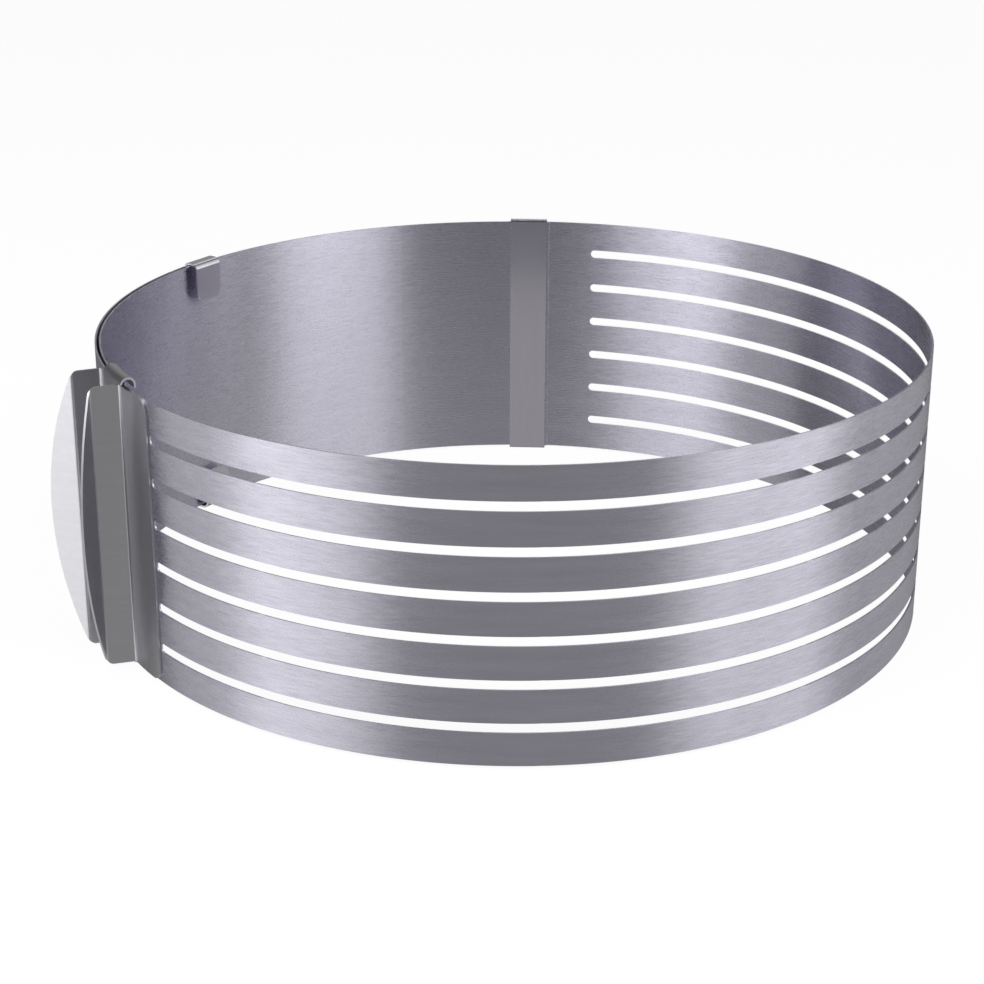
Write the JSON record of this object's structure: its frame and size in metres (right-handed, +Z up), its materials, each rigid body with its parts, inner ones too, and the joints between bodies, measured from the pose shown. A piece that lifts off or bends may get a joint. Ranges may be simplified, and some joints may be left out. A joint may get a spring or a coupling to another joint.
{
  "type": "cake leveler",
  "caption": "Adjustable cake ring of slotted and plain spring steel strips, with two squeeze grips that draw it closed and slots that guide a knife.",
  "frame": {"origin": "on the ring's axis, on the plane that the folds under the lower edge stand on", "axes": "+Z up along the ring's axis; the strap is near +Y and the grips stand out towards -X and -Y"},
  "size_m": [0.2605, 0.2526, 0.0884],
  "materials": {
    "slotted_strip": "brushed along the strip, satin",
    "plain_strip": "brushed along the strip, satin",
    "strap": "brushed along the strip, satin",
    "keeper": "brushed along the strip, satin",
    "front_grip": "brushed along the strip, satin",
    "rear_grip": "brushed along the strip, satin"
  },
  "bodies": {
    "lap_joint": {"slotted_lap": "slotted_strip", "plain_lap": "plain_strip", "strap": "strap"},
    "slotted_1": {"slotted_1": "slotted_strip"},
    "slotted_2": {"slotted_2": "slotted_strip"},
    "slotted_3": {"slotted_3": "slotted_strip"},
    "slotted_4": {"slotted_4": "slotted_strip"},
    "slotted_5": {"slotted_5": "slotted_strip"},
    "slotted_6": {"slotted_6": "slotted_strip"},
    "front_grip": {"grip_band": "slotted_strip", "front_grip": "front_grip"},
    "tail_1": {"tail_1": "slotted_strip"},
    "tail_2": {"tail_2": "slotted_strip"},
    "tail_3": {"tail_3": "slotted_strip", "keeper": "keeper"},
    "plain_1": {"plain_1": "plain_strip"},
    "plain_2": {"plain_2": "plain_strip"},
    "plain_3": {"plain_3": "plain_strip"},
    "plain_4": {"plain_4": "plain_strip"},
    "rear_grip": {"plain_5": "plain_strip", "rear_grip": "rear_grip"}
  },
  "joints": [
    {"name": "ring_opening", "type": "hinge", "parent": "slotted_3", "child": "slotted_4", "pos_m": [0.10627, -0.0677, 0.0435], "axis": [0, 0, 1], "range_deg": [0, 4.38]},
    {"name": "bend_slotted_5", "type": "hinge", "parent": "slotted_4", "child": "slotted_5", "pos_m": [0.0465, -0.1171, 0.0435], "axis": [0, 0, 1], "range_deg": [0, 4.39]},
    {"name": "bend_slotted_6", "type": "hinge", "parent": "slotted_5", "child": "slotted_6", "pos_m": [-0.03088, -0.12216, 0.0435], "axis": [0, 0, 1], "range_deg": [0, 4.39]},
    {"name": "bend_front_grip", "type": "hinge", "parent": "slotted_6", "child": "front_grip", "pos_m": [-0.09656, -0.08095, 0.0435], "axis": [0, 0, 1], "range_deg": [0, 3.48]},
    {"name": "bend_tail_1", "type": "hinge", "parent": "front_grip", "child": "tail_1", "pos_m": [-0.11914, -0.04102, 0.0435], "axis": [0, 0, 1], "range_deg": [0, 2.4]},
    {"name": "bend_tail_2", "type": "hinge", "parent": "tail_1", "child": "tail_2", "pos_m": [-0.12599, -0.00175, 0.0435], "axis": [0, 0, 1], "range_deg": [0, 2.23]},
    {"name": "bend_tail_3", "type": "hinge", "parent": "tail_2", "child": "tail_3", "pos_m": [-0.12023, 0.03771, 0.0435], "axis": [0, 0, 1], "range_deg": [0, 2.23]},
    {"name": "bend_slotted_2", "type": "hinge", "parent": "slotted_3", "child": "slotted_2", "pos_m": [0.12579, 0.00735, 0.0435], "axis": [0, 0, -1], "range_deg": [0, 4.39]},
    {"name": "bend_slotted_1", "type": "hinge", "parent": "slotted_2", "child": "slotted_1", "pos_m": [0.09766, 0.07961, 0.0435], "axis": [0, 0, -1], "range_deg": [0, 4.39]},
    {"name": "bend_lap_joint", "type": "hinge", "parent": "slotted_1", "child": "lap_joint", "pos_m": [0.03256, 0.12172, 0.0435], "axis": [0, 0, -1], "range_deg": [0, 3.6]},
    {"name": "bend_plain_1", "type": "hinge", "parent": "lap_joint", "child": "plain_1", "pos_m": [-0.01746, 0.12426, 0.0435], "axis": [0, 0, -1], "range_deg": [0, 2.78]},
    {"name": "bend_plain_2", "type": "hinge", "parent": "plain_1", "child": "plain_2", "pos_m": [-0.0618, 0.10878, 0.0435], "axis": [0, 0, -1], "range_deg": [0, 2.79]},
    {"name": "bend_plain_3", "type": "hinge", "parent": "plain_2", "child": "plain_3", "pos_m": [-0.09959, 0.07505, 0.0435], "axis": [0, 0, -1], "range_deg": [0, 2.82]},
    {"name": "bend_plain_4", "type": "hinge", "parent": "plain_3", "child": "plain_4", "pos_m": [-0.12052, 0.03201, 0.0435], "axis": [0, 0, -1], "range_deg": [0, 2.74]},
    {"name": "bend_rear_grip", "type": "hinge", "parent": "plain_4", "child": "rear_grip", "pos_m": [-0.1237, -0.01575, 0.0435], "axis": [0, 0, -1], "range_deg": [0, 2.74]}
  ],
  "couplings": [
    {"joint": "bend_slotted_5", "follows": "ring_opening", "ratio": 1},
    {"joint": "bend_slotted_6", "follows": "ring_opening", "ratio": 1},
    {"joint": "bend_front_grip", "follows": "ring_opening", "ratio": 0.79258},
    {"joint": "bend_tail_1", "follows": "ring_opening", "ratio": 0.54656},
    {"joint": "bend_tail_2", "follows": "ring_opening", "ratio": 0.50796},
    {"joint": "bend_tail_3", "follows": "ring_opening", "ratio": 0.50796},
    {"joint": "bend_slotted_2", "follows": "ring_opening", "ratio": 1},
    {"joint": "bend_slotted_1", "follows": "ring_opening", "ratio": 1},
    {"joint": "bend_lap_joint", "follows": "ring_opening", "ratio": 0.82048},
    {"joint": "bend_plain_1", "follows": "ring_opening", "ratio": 0.63249},
    {"joint": "bend_plain_2", "follows": "ring_opening", "ratio": 0.63549},
    {"joint": "bend_plain_3", "follows": "ring_opening", "ratio": 0.64129},
    {"joint": "bend_plain_4", "follows": "ring_opening", "ratio": 0.623},
    {"joint": "bend_rear_grip", "follows": "ring_opening", "ratio": 0.623}
  ]
}
